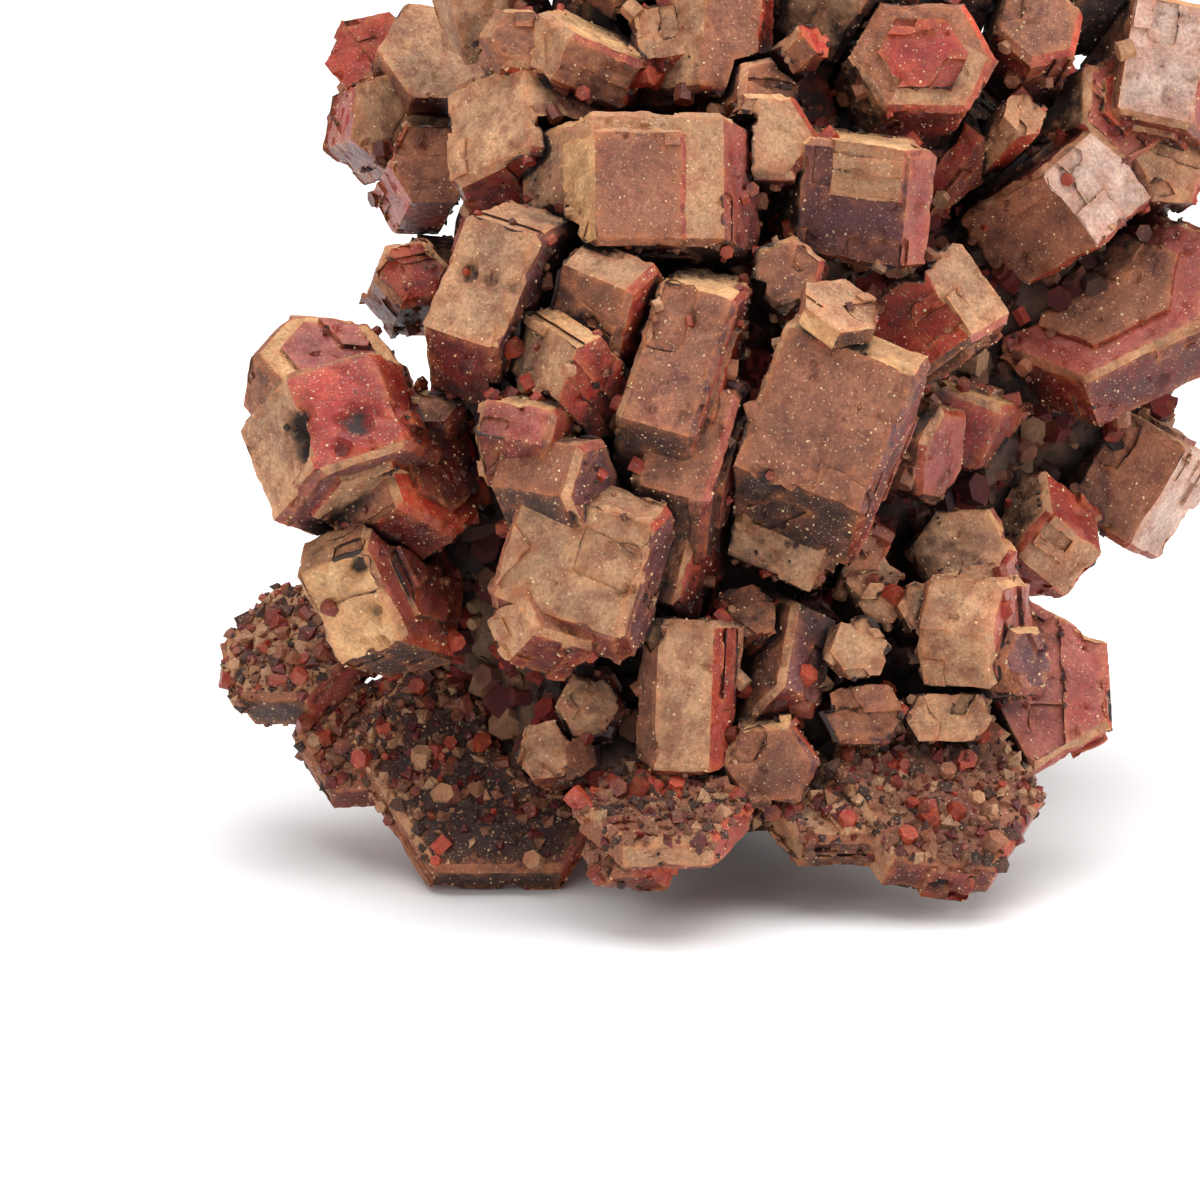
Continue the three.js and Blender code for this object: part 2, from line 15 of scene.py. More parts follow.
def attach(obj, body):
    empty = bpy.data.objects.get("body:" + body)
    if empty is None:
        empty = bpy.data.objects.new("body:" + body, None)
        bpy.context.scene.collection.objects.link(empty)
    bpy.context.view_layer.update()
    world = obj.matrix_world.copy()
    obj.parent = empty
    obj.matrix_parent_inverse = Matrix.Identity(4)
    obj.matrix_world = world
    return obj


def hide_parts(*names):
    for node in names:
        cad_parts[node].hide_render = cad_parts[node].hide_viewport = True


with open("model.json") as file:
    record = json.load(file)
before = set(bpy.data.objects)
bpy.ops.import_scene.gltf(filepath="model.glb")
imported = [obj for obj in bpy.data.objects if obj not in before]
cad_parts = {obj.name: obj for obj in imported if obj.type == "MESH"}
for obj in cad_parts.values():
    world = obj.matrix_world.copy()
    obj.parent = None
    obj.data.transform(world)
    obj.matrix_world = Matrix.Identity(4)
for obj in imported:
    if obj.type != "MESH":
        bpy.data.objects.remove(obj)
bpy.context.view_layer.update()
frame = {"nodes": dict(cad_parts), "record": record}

MM = 0.001

# The leaning front of the specimen: its zero point and its axes to the right, up the front and out of it.
FRONT_LEAN = math.radians(15)
FRONT_ORIGIN = Vector((-7.5, -24.5, 17.0)) * MM
TO_RIGHT = Vector((1, 0, 0))
UP_FRONT = Vector((0, math.sin(FRONT_LEAN), math.cos(FRONT_LEAN)))
OUT_OF_FRONT = Vector((0, -math.cos(FRONT_LEAN), math.sin(FRONT_LEAN)))

# The camera looks straight at the leaning front.
CAMERA_DISTANCE = 260 * MM
CAMERA_PLACE = FRONT_ORIGIN + OUT_OF_FRONT * CAMERA_DISTANCE
CAMERA_LENS = 156
CAMERA_SENSOR = 36
CAMERA_CLIP_START = 0.01

# Fineness of the surfaces.
CRYSTAL_EDGE = 0.42 * MM
ROCK_EDGE = 0.6 * MM
FLAT_ANGLE = math.radians(1)
SHARP_ANGLE = math.radians(32)
EDGE_SAMPLE = 0.2 * MM
WELD_DISTANCE = 1e-6
CUT_TOLERANCE = 1e-7
REFINE_ROUNDS = 9

# Growth steps on the crystal faces.
STEP_MIN_AREA = 3.0 * MM * MM
STEP_MIN_WIDTH = 0.9 * MM
STEP_RISE = (0.08 * MM, 0.3 * MM)
STEP_SINK = (0.06 * MM, 0.22 * MM)
STEP_DEPTH = (0.12, 0.5)
STEP_COUNTS = (0, 1, 1, 2, 3)
BLOCK_SHARE = 0.75
BLOCK_WIDTH = (0.2, 0.65)
RISING_SHARE = 0.55
STEP_LOOK_START = 0.05 * MM
STEP_CLEARANCE = 0.8 * MM

# Relief in millimetres over the crystal faces, and how fine it is: terraces, pits, grain and chipped edges.
TERRACE_RISE = 0.07
TERRACE_LEVELS = 5
PIT_DEPTH = 0.55
PIT_START = 0.33
GRAIN_RISE = 0.035
CHIP_DEPTH = 0.4
CHIP_REACH = 0.3
TERRACES_PER_MM = 0.5
PITS_PER_MM = 1.1
GRAINS_PER_MM = 4.5
CHIPS_PER_MM = 0.8
PIT_SHIFT = Vector((7, 3, 9))
CHIP_SHIFT = Vector((2, 8, 5))

# Relief of the rock in millimetres.
ROCK_BLOCKS_PER_MM = 0.26
ROCK_RELIEF = 0.45
ROCK_CRACK_DEPTH = 0.5
ROCK_GRAIN = 0.22
ROCK_GRAINS_PER_MM = 1.4
ROCK_BENDS_PER_MM = 0.4
ROCK_BEND = 0.8
ROCK_CRACK_SHARPNESS = 14
ROCK_CELL_SPREAD = 7.3

# Light that reaches a point: rays of this length in this many directions.
SHADE_REACH = 6 * MM
SHADE_LIFT = 0.4 * MM
SHADE_RAYS = 14

# How far a face has to look one way, as a share, to count as a rear, upper, lower or right face.
REAR_FACING = -0.35
UP_FACING = 0.6
DOWN_FACING = -0.62
RIGHT_FACING = 0.5

SEED = 41

# Colours of the faces, 0 to 255: the main colour, the colour of its patches, and how glossy it is.
LOOKS = {
    "tan": ((178, 134, 98), (146, 96, 68), 0.25),
    "ochre": ((186, 136, 90), (204, 160, 112), 0.3),
    "brown": ((142, 88, 62), (110, 60, 44), 0.3),
    "red": ((138, 24, 17), (160, 54, 34), 0.8),
    "deep_red": ((82, 14, 13), (112, 26, 20), 0.8),
    "bright_red": ((184, 36, 20), (190, 70, 40), 0.8),
    # The pink look is the red of the crystal with a painted sheen over it.
    "pink": ((152, 74, 66), (134, 42, 34), 0.85),
    "purple": ((92, 46, 50), (72, 30, 35), 0.7),
    "pale": ((200, 168, 152), (176, 134, 118), 0.6),
    "dark": ((66, 36, 30), (36, 20, 18), 0.3),
    "rock": ((112, 82, 62), (66, 40, 32), 0.05),
    "dust": ((226, 194, 152), (206, 164, 122), 0.1),
    "crumb": ((134, 86, 58), (100, 58, 40), 0.1),
    "soil": ((58, 36, 28), (84, 50, 34), 0.1),
}
LOOK_NAMES = list(LOOKS)

# How fine the patches of each kind of crystal are.
PATCHES_PER_MM = {"tan_crystal": 0.9, "brown_crystal": 0.7, "red_crystal": 1.1, "pale_crystal": 0.6}

# What covers the faces of each kind of crystal, by where they face. The darker looks on downward faces are
# painted shade, and on right faces the purple look is painted shade and the pink look a painted sheen.
FACE_RULES = {
    "tan_crystal": {
        "front": ("tan", "tan", "brown"),
        "up": ("ochre", "tan"),
        "right": ("red", "purple", "pink"),
        "down": ("deep_red", "dark"),
        "rear": ("brown", "red"),
    },
    "brown_crystal": {
        "front": ("brown", "tan"),
        "up": ("ochre", "tan"),
        "right": ("pink", "red"),
        "down": ("dark", "deep_red"),
        "rear": ("brown", "red"),
    },
    "red_crystal": {
        "front": ("brown", "red", "tan"),
        "up": ("tan", "brown", "ochre"),
        "right": ("red", "bright_red", "pink"),
        "down": ("deep_red", "red"),
        "rear": ("red", "brown", "tan"),
    },
    "pale_crystal": {
        "front": ("brown", "tan"),
        "up": ("ochre", "tan", "pink"),
        "right": ("pink", "pale", "red"),
        "down": ("red", "deep_red"),
        "rear": ("brown", "red", "pink"),
    },
}

# Faces with a look of their own: the place on the front, in millimetres right and up, where each is seen.
SEEN_FACES = [
    (-14.3, 12.5, "pink"), (-12.1, 11.2, "red"), (-15.2, 8.0, "tan"), (-14.7, 4.5, "purple"),
    (-12.2, 5.2, "tan"), (-8.5, 6.2, "deep_red"), (-11.9, 0.5, "tan"), (-8.0, 0.5, "pink"),
    (-10.0, -2.0, "ochre"), (-8.7, 17.9, "ochre"), (-9.0, 16.2, "red"), (-5.7, 16.0, "tan"),
    (-0.7, 18.0, "ochre"), (-1.0, 15.0, "brown"), (2.1, 15.9, "red"), (2.0, 14.2, "red"), (-3.0, 8.5, "pink"),
    (-1.5, 1.5, "tan"), (2.5, 1.0, "purple"), (5.0, 14.0, "brown"), (7.2, 11.0, "purple"),
    (5.0, 6.0, "brown"), (11.5, 13.0, "ochre"), (11.0, 7.5, "brown"), (17.0, 14.5, "red"),
    (-3.0, 22.0, "tan"), (2.0, 21.5, "brown"), (7.0, 21.5, "pink"), (12.5, 19.0, "purple"),
    (16.5, 20.0, "pink"), (24.2, 21.5, "pale"), (26.4, 24.7, "pale"), (26.5, 15.0, "tan"),
    (-7.0, -9.5, "dark"), (2.5, -10.5, "brown"), (16.5, -11.0, "brown"), (23.0, -4.5, "pink"),
    (4.2, -5.0, "tan"), (16.0, 5.5, "red"), (19.2, 4.7, "bright_red"), (21.5, 3.5, "red"),
    (15.5, 9.5, "deep_red"), (19.0, 9.0, "red"), (12.9, 3.0, "deep_red"), (22.7, 13.5, "brown"),
]

# Broken hollows: the place on the front in millimetres right and up, the radius and the depth.
SEEN_HOLLOWS = [
    (-15.2, 8.6, 1.1, 0.9), (-15.0, 7.4, 0.8, 0.7), (-12.2, 9.0, 1.0, 0.5), (-12.9, 7.6, 0.5, 0.4),
    (-6.6, 16.4, 0.6, 0.4), (-5.4, 16.1, 0.7, 0.35), (-4.3, 15.6, 0.5, 0.3), (-12.2, 1.6, 0.7, 0.5),
    (-11.2, -0.6, 0.5, 0.4), (16.9, -14.4, 0.7, 0.6), (-1.4, 3.9, 0.6, 0.5), (8.4, 6.0, 0.9, 0.5),
]

# Ragged outline and wall of the broken hollows, and how much painted shade their depth adds.
HOLLOW_RAGGED = 0.45
HOLLOW_RAGS_PER_MM = 1.6
HOLLOW_WALL = 2.2
HOLLOW_SHADE = 1.6

# Scatter on the surfaces, per square millimetre, with radii in millimetres.
DUST_DENSITY = 1.8
DUST_RADIUS = (0.03, 0.1)
SOIL_DENSITY = 0.6
SOIL_RADIUS = (0.1, 0.28)
PLATE_SOIL_DENSITY = 8.0
PLATE_SOIL_RADIUS = (0.12, 0.55)
PLATE_BUD_DENSITY = 0.8
BUD_DENSITY = 0.14
BUD_RADIUS = (0.18, 0.55)
ROCK_BUD_DENSITY = 0.7
ROCK_BUD_RADIUS = (0.25, 0.9)
BUD_LENGTH = (1.0, 2.6)
BUD_SUNK = 0.4
BUD_STANDING = 0.6
BUD_TILT = 0.8
BUD_TURN = 2
# Share of the painted edge highlight that the small crystals take all over.
BUD_RIDGE = 0.4
GRAIN_STRETCH = (0.6, 1.3)
ROCK_SOIL_DENSITY = SOIL_DENSITY * 2
BUD_LOOKS = ("brown", "red", "tan", "deep_red", "red", "deep_red")
SOIL_LOOKS = ("soil", "soil", "crumb", "crumb", "brown")
PLATE_SOIL_LOOKS = ("soil", "soil", "crumb", "brown", "tan", "deep_red")
SOILED_PLATES = ("left_foot_plates", "right_foot_plate", "front_foot_plate")

# How closed in a face may be for dust, soil and small crystals, and what share of its shade they take.
OPEN_AIR_SHADE = 0.75
SHELTERED_SHADE = (0.4, 0.9)
DUST_SHADE = 0.5
SOIL_SHADE = 0.8
BUD_SHADE = 0.6
PLATE_SHADE = 0.5
ROCK_BUD_SHADE = 0.9
PLATE_CLOSED_SHADE = 0.9
PLATE_UPWARD = 0.2
PLATE_COVER_SLOPE = 2.4
PLATE_COVER_START = 0.15
ROCK_CLOSED_SHADE = 0.95
ROCK_CROWD_START = 0.15
ROCK_CROWD_SLOPE = 3
ROCK_CROWD_LEAST = 0.02
ROCK_BARE_HEIGHT = 1 * MM

FLOOR_HALF_WIDTH = 3.0
FLOOR_COLOUR = (0.93, 0.93, 0.93, 1)
FLOOR_ROUGHNESS = 0.9

# Lights: kind, place, strength, and the angle of the sun or the width of the panel.
LIGHTS = {
    "sky_light": ("SUN", (0.01, 0.04, 0.5), 3.55, math.radians(70)),
    "front_fill": ("AREA", (-0.3, -0.5, 0.35), 0.8, 0.35),
    "right_card": ("AREA", (0.4, -0.1, 0.2), 0.9, 0.25),
}
LIGHT_TARGET = Vector((0, 0, 0.02))
WORLD_COLOUR = (1, 1, 1, 1)
WORLD_STRENGTH = 0.36


def linear(colour):
    """A colour of 0 to 255 per channel as linear light."""
    shares = np.asarray(colour, float) / 255
    low = shares / 12.92
    high = ((shares + 0.055) / 1.055) ** 2.4
    return np.append(np.where(shares <= 0.04045, low, high), 1.0)


LOOK_MAIN = np.array([linear(LOOKS[name][0]) for name in LOOK_NAMES])
LOOK_PATCH = np.array([linear(LOOKS[name][1]) for name in LOOK_NAMES])
LOOK_GLOSS = np.array([LOOKS[name][2] for name in LOOK_NAMES])


def in_front_frame(direction):
    """A direction as shares to the right, up the front and out of it."""
    return direction.dot(TO_RIGHT), direction.dot(UP_FRONT), direction.dot(OUT_OF_FRONT)


def solid_faces():
    """Every solid as one search tree, with the node of each of its faces."""
    points, faces, owners = [], [], []
    for name, node in frame["nodes"].items():
        start = len(points)
        points.extend(vertex.co for vertex in node.data.vertices)
        for polygon in node.data.polygons:
            faces.append([start + index for index in polygon.vertices])
            owners.append(name)
    return BVHTree.FromPolygons(points, faces), owners


def seen_places(tree, owners, entries):
    """For each node, the points on it that are seen at the given places on the front, with what each has."""
    places = {}
    for right, up, *what in entries:
        aim = FRONT_ORIGIN + TO_RIGHT * right * MM + UP_FRONT * up * MM
        point, _, index, _ = tree.ray_cast(CAMERA_PLACE, (aim - CAMERA_PLACE).normalized())
        if point is not None:
            places.setdefault(owners[index], []).append((point, *what))
    return places


def node_slots():
    """The material slot of each node."""
    return {part["node"]: part["material_slot"] for part in frame["record"]["subparts"]}


class Surface:
    """Joined triangles with the values that the materials read at their points and faces."""

    def __init__(self):
        self.points = []
        self.faces = []
        self.looks = []
        self.ridge = []
        self.shade = []
        self.count = 0

    def add(self, points, faces, looks, ridge=0.0, shade=0.0):
        points = np.asarray(points, float)
        faces = np.asarray(faces, int)
        self.points.append(points)
        self.faces.append(faces + self.count)
        self.looks.append(np.broadcast_to(looks, len(faces)))
        self.ridge.append(np.broadcast_to(ridge, len(points)))
        self.shade.append(np.broadcast_to(shade, len(points)))
        self.count += len(points)

    def to_object(self, name, material):
        mesh = bpy.data.meshes.new(name)
        mesh.from_pydata(np.concatenate(self.points).tolist(), [], np.concatenate(self.faces).tolist())
        looks = np.concatenate(self.looks)
        for label, values in (("main", LOOK_MAIN[looks]), ("patch", LOOK_PATCH[looks])):
            layer = mesh.attributes.new(label, "FLOAT_COLOR", "FACE")
            layer.data.foreach_set("color", values.ravel())
        layer = mesh.attributes.new("gloss", "FLOAT", "FACE")
        layer.data.foreach_set("value", LOOK_GLOSS[looks])
        for label, values in (("ridge", self.ridge), ("shade", self.shade)):
            layer = mesh.attributes.new(label, "FLOAT", "POINT")
            layer.data.foreach_set("value", np.concatenate(values))
        mesh.shade_smooth()
        mesh.set_sharp_from_angle(angle=SHARP_ANGLE)
        mesh.materials.append(material)
        piece = bpy.data.objects.new(name, mesh)
        bpy.context.scene.collection.objects.link(piece)
        return piece


def welded_copy(node):
    """A node's solid with its flat faces whole."""
    solid = bmesh.new()
    solid.from_mesh(frame["nodes"][node].data)
    bmesh.ops.remove_doubles(solid, verts=solid.verts, dist=WELD_DISTANCE)
    bmesh.ops.dissolve_limit(solid, angle_limit=FLAT_ANGLE, verts=solid.verts, edges=solid.edges)
    solid.normal_update()
    return solid


def side_of(normal):
    """Which way a face looks: front, up, right, down or rear."""
    right, up, out = in_front_frame(normal)
    if out < REAR_FACING:
        return "rear"
    if up > UP_FACING:
        return "up"
    if up < DOWN_FACING:
        return "down"
    if right > RIGHT_FACING:
        return "right"
    return "front"


def choose_looks(solid, slot, places, chance):
    """The look of every face, kept in a face layer: by rule, or as seen on the front."""
    layer = solid.faces.layers.int.new("look")
    for face in solid.faces:
        look = chance.choice(FACE_RULES[slot][side_of(face.normal)])
        face[layer] = LOOK_NAMES.index(look)
    tree = BVHTree.FromBMesh(solid)
    solid.faces.ensure_lookup_table()
    for point, look in places:
        _, _, index, _ = tree.find_nearest(point)
        solid.faces[index][layer] = LOOK_NAMES.index(look)


def width_across(face, direction):
    """How far a face reaches along a direction, from low to high."""
    reach = [vertex.co.dot(direction) for vertex in face.verts]
    return min(reach), max(reach)


def raise_face(solid, face, height):
    """Moves one face out by the height, with walls left around it. Gives the moved face."""
    normal = face.normal.copy()
    made = bmesh.ops.extrude_face_region(solid, geom=[face])["geom"]
    corners = [item for item in made if isinstance(item, bmesh.types.BMVert)]
    tops = [item for item in made if isinstance(item, bmesh.types.BMFace)]
    bmesh.ops.translate(solid, verts=corners, vec=normal * height)
    if face.is_valid:
        bmesh.ops.delete(solid, geom=[face], context="FACES_ONLY")
    for top in tops:
        top.normal_update()
    return max(tops, key=lambda top: top.normal.dot(normal))


def cut_beside(solid, face, edge, share):
    """Cuts a face along a line parallel to one of its edges. Gives the part beside the edge and the rest."""
    middle = (edge.verts[0].co + edge.verts[1].co) / 2
    along = (edge.verts[1].co - edge.verts[0].co).normalized()
    across = face.normal.cross(along).normalized()
    low, high = width_across(face, across)
    if high - low < STEP_MIN_WIDTH:
        return None, face
    near_low = middle.dot(across) - low < high - middle.dot(across)
    place = low + (high - low) * (share if near_low else 1 - share)
    geometry = [face, *face.edges, *face.verts]
    plane = {"plane_co": across * place, "plane_no": across, "dist": CUT_TOLERANCE}
    cut = bmesh.ops.bisect_plane(solid, geom=geometry, **plane)
    parts = [item for item in cut["geom"] if isinstance(item, bmesh.types.BMFace)]
    if len(parts) < 2:
        return None, face
    for part in parts:
        part.normal_update()
    parts.sort(key=lambda part: part.calc_center_median().dot(across), reverse=not near_low)
    return parts[0], parts[-1]


def most_crosswise(face, along):
    """The edge of a face that runs most nearly square to a direction."""
    def lengthwise(edge):
        return abs((edge.verts[1].co - edge.verts[0].co).normalized().dot(along))

    return min(face.edges, key=lengthwise)


def grow_step(solid, face, chance):
    """Moves a strip or a block beside one edge of a face out or in. Gives the rest of the face."""
    edge = max(chance.sample(list(face.edges), min(2, len(face.edges))), key=lambda e: e.calc_length())
    along = (edge.verts[1].co - edge.verts[0].co).normalized()
    block, rest = cut_beside(solid, face, edge, chance.uniform(*STEP_DEPTH))
    if block is None:
        return None
    if chance.random() < BLOCK_SHARE:
        shorter, _ = cut_beside(solid, block, most_crosswise(block, along), chance.uniform(*BLOCK_WIDTH))
        block = shorter or block
    height = chance.uniform(*STEP_RISE) if chance.random() < RISING_SHARE else -chance.uniform(*STEP_SINK)
    raise_face(solid, block, height)
    return rest


def grow_steps(solid, tree, chance):
    """Growth steps on every larger face that is open to the air."""
    for face in [face for face in solid.faces if face.calc_area() > STEP_MIN_AREA]:
        start = face.calc_center_median_weighted() + face.normal * STEP_LOOK_START
        if tree.ray_cast(start, face.normal, STEP_CLEARANCE)[0] is not None:
            continue
        for _ in range(chance.choice(STEP_COUNTS)):
            face = grow_step(solid, face, chance)
            if face is None:
                break
            face.normal_update()
    solid.normal_update()


def refine(solid, longest):
    """Cuts the faces into triangles with no edge longer than given."""
    bmesh.ops.triangulate(solid, faces=solid.faces[:])
    for _ in range(REFINE_ROUNDS):
        edges = [edge for edge in solid.edges if edge.calc_length() > longest]
        if not edges:
            break
        bmesh.ops.subdivide_edges(solid, edges=edges, cuts=1)
        bmesh.ops.triangulate(solid, faces=[face for face in solid.faces if len(face.verts) > 3])
    solid.normal_update()


def ridge_tree(solid):
    """Points along the outward edges, for finding how near an edge is."""
    samples = []
    for edge in solid.edges:
        if len(edge.link_faces) == 2 and edge.calc_face_angle_signed(0) > SHARP_ANGLE:
            first, last = edge.verts[0].co, edge.verts[1].co
            count = max(1, round(edge.calc_length() / EDGE_SAMPLE))
            samples.extend(first.lerp(last, step / count) for step in range(count + 1))
    tree = KDTree(max(1, len(samples)))
    for index, sample in enumerate(samples):
        tree.insert(sample, index)
    tree.balance()
    return tree


def crystal_relief(place, nearness):
    """Relief in millimetres at a place in millimetres, given how near an outward edge is (0 to 1)."""
    level = math.floor(noise.noise(place * TERRACES_PER_MM) * TERRACE_LEVELS)
    terrace = level / TERRACE_LEVELS * TERRACE_RISE
    pit = max(0, noise.fractal(place * PITS_PER_MM + PIT_SHIFT, 1, 2, 3) - PIT_START) * PIT_DEPTH
    grain = noise.noise(place * GRAINS_PER_MM) * GRAIN_RISE
    chip = nearness * max(0, noise.noise(place * CHIPS_PER_MM + CHIP_SHIFT)) * CHIP_DEPTH
    return terrace - pit + grain - chip


def rock_relief(place):
    """Relief of the rock in millimetres at a place in millimetres: broken blocks, cracks and grain."""
    bent = place + noise.noise_vector(place * ROCK_BENDS_PER_MM) * ROCK_BEND
    distances, centres = noise.voronoi(bent * ROCK_BLOCKS_PER_MM)
    crack = math.exp(-(distances[1] - distances[0]) * ROCK_CRACK_SHARPNESS) * ROCK_CRACK_DEPTH
    block = noise.cell(centres[0] * ROCK_CELL_SPREAD) * ROCK_RELIEF
    return block - crack + noise.fractal(place * ROCK_GRAINS_PER_MM, 1, 2, 3) * ROCK_GRAIN


def sky_directions(count):
    """Evenly spread directions."""
    turn = math.pi * (3 - math.sqrt(5))
    directions = []
    for index in range(count):
        z = 1 - (2 * index + 1) / count
        flat = math.sqrt(1 - z * z)
        directions.append(Vector((flat * math.cos(index * turn), flat * math.sin(index * turn), z)))
    return directions


SKY = sky_directions(SHADE_RAYS)


def shade_at(point, normal, tree):
    """The share of directions above a surface that another surface closes off."""
    start = point + normal * SHADE_LIFT
    closed = 0
    for direction in SKY:
        aim = direction if direction.dot(normal) > 0 else -direction
        if tree.ray_cast(start, aim, SHADE_REACH)[0] is not None:
            closed += 1
    return closed / len(SKY)


def hollow_depth(point, hollows):
    """How deep a point lies in a broken hollow, in millimetres."""
    depth = 0
    for middle, radius, deepest in hollows:
        ragged = 1 + HOLLOW_RAGGED * noise.noise(point / MM * HOLLOW_RAGS_PER_MM)
        share = (point - middle).length / (radius * MM * ragged)
        depth = max(depth, deepest * min(1, HOLLOW_WALL * (1 - share)))
    return depth


def bare_surface(solid, tree, relief, near_edges, hollows=()):
    """Points, triangles, looks, ridge and shade of a refined solid with its relief and hollows."""
    layer = solid.faces.layers.int["look"]
    points, ridge, shade = [], [], []
    for vertex in solid.verts:
        distance = near_edges.find(vertex.co)[2] if near_edges else None
        nearness = 0 if distance is None else math.exp(-distance / (CHIP_REACH * MM))
        hollow = hollow_depth(vertex.co, hollows)
        moved = vertex.co + vertex.normal * (relief(vertex.co / MM, nearness) - hollow) * MM
        moved.z = max(0, moved.z)
        points.append(moved)
        ridge.append(nearness)
        # The shade of a point also takes the depth of its hollow, so hollows are painted darker as shade.
        shade.append(max(shade_at(vertex.co, vertex.normal, tree), min(1, HOLLOW_SHADE * hollow)))
    solid.verts.index_update()
    faces = [[vertex.index for vertex in face.verts] for face in solid.faces]
    looks = [face[layer] for face in solid.faces]
    return np.array(points), np.array(faces), np.array(looks), np.array(ridge), np.array(shade)


def spots_on(points, faces, weights, density, chance):
    """Random places on triangles, as many per square millimetre as given, with their normals."""
    corners = points[faces]
    crossed = np.cross(corners[:, 1] - corners[:, 0], corners[:, 2] - corners[:, 0])
    doubled = np.linalg.norm(crossed, axis=1)
    areas = doubled / 2 / MM ** 2 * weights
    count = int(areas.sum() * density)
    picked = chance.choice(len(faces), size=count, p=areas / areas.sum()) if count else np.zeros(0, int)
    first, second = chance.random(count), chance.random(count)
    fold = first + second > 1
    first[fold], second[fold] = 1 - first[fold], 1 - second[fold]
    chosen = corners[picked]
    spots = chosen[:, 0] + first[:, None] * (chosen[:, 1] - chosen[:, 0])
    spots += second[:, None] * (chosen[:, 2] - chosen[:, 0])
    return spots, crossed[picked] / doubled[picked, None], picked


GRAIN_POINTS = np.array([(1, 0, 0), (-1, 0, 0), (0, 1, 0), (0, -1, 0), (0, 0, 1), (0, 0, -1)], float)
GRAIN_FACES = np.array([
    (0, 2, 4), (2, 1, 4), (1, 3, 4), (3, 0, 4), (2, 0, 5), (1, 2, 5), (3, 1, 5), (0, 3, 5),
])


def scatter_grains(surface, spots, radii, looks, shades, chance):
    """Angular grains half sunk in the surface."""
    for spot, radius, shade in zip(spots, radii, shades):
        look = looks[chance.integers(len(looks))]
        turn = Quaternion(chance.normal(size=4)).normalized().to_matrix()
        stretch = chance.uniform(*GRAIN_STRETCH, size=3)
        points = (GRAIN_POINTS * stretch) @ np.array(turn) * radius * MM + spot
        points[:, 2] = np.maximum(points[:, 2], 0)
        surface.add(points, GRAIN_FACES, LOOK_NAMES.index(look), 0.0, shade)


def bud_mesh(radius, length):
    """A small six-sided crystal along z, from a sunk foot to its tip."""
    ring = [(radius * math.cos(a * math.pi / 3), radius * math.sin(a * math.pi / 3)) for a in range(6)]
    points = [(x, y, -length * BUD_SUNK) for x, y in ring] + [(x, y, length * BUD_STANDING) for x, y in ring]
    faces = []
    for side in range(6):
        after = (side + 1) % 6
        faces += [(side, after, after + 6), (side, after + 6, side + 6)]
    for corner in range(1, 5):
        faces += [(0, corner + 1, corner), (6, corner + 6, corner + 7)]
    return np.array(points), np.array(faces)


def scatter_buds(surface, spots, normals, radii, shades, chance):
    """Small crystals standing on the surface at odd angles."""
    for spot, normal, radius, shade in zip(spots, normals, radii, shades):
        heading = Vector(normal) + Vector(chance.uniform(-BUD_TILT, BUD_TILT, size=3))
        spin = Matrix.Rotation(chance.uniform(0, BUD_TURN), 3, "Z")
        turn = heading.to_track_quat("Z", "Y").to_matrix() @ spin
        points, faces = bud_mesh(radius * MM, radius * MM * chance.uniform(*BUD_LENGTH))
        points = points @ np.array(turn).T + spot
        points[:, 2] = np.maximum(points[:, 2], 0)
        look = BUD_LOOKS[chance.integers(len(BUD_LOOKS))]
        surface.add(points, faces, LOOK_NAMES.index(look), BUD_RIDGE, shade)


def radii_between(limits, count, chance):
    """Radii between the limits, with more small ones than large ones."""
    low, high = limits
    return low + (high - low) * chance.random(count) ** 2


def dress_crystal(name, slot, tree, places, hollows, material):
    """The visible mesh of one group of crystals."""
    seed = SEED + sum(map(ord, name))
    chance = random.Random(seed)
    scatter = np.random.default_rng(seed)
    solid = welded_copy(name)
    choose_looks(solid, slot, places, chance)
    grow_steps(solid, tree, chance)
    near_edges = ridge_tree(solid)
    refine(solid, CRYSTAL_EDGE)
    points, faces, looks, ridge, shade = bare_surface(solid, tree, crystal_relief, near_edges, hollows)
    solid.free()
    surface = Surface()
    surface.add(points, faces, looks, ridge, shade)
    face_shade = shade[faces].mean(axis=1)
    open_air = face_shade < OPEN_AIR_SHADE
    spots, _, picked = spots_on(points, faces, open_air, DUST_DENSITY, scatter)
    radii = radii_between(DUST_RADIUS, len(spots), scatter)
    scatter_grains(surface, spots, radii, ("dust",), face_shade[picked] * DUST_SHADE, scatter)
    sheltered = (face_shade > SHELTERED_SHADE[0]) & (face_shade < SHELTERED_SHADE[1])
    spots, _, picked = spots_on(points, faces, sheltered, SOIL_DENSITY, scatter)
    radii = radii_between(SOIL_RADIUS, len(spots), scatter)
    scatter_grains(surface, spots, radii, SOIL_LOOKS, face_shade[picked] * SOIL_SHADE, scatter)
    spots, normals, picked = spots_on(points, faces, sheltered, BUD_DENSITY, scatter)
    radii = radii_between(BUD_RADIUS, len(spots), scatter)
    scatter_buds(surface, spots, normals, radii, face_shade[picked] * BUD_SHADE, scatter)
    if name in SOILED_PLATES:
        soil_plate(surface, points, faces, face_shade, scatter)
    return surface.to_object(name + "_surface", material)


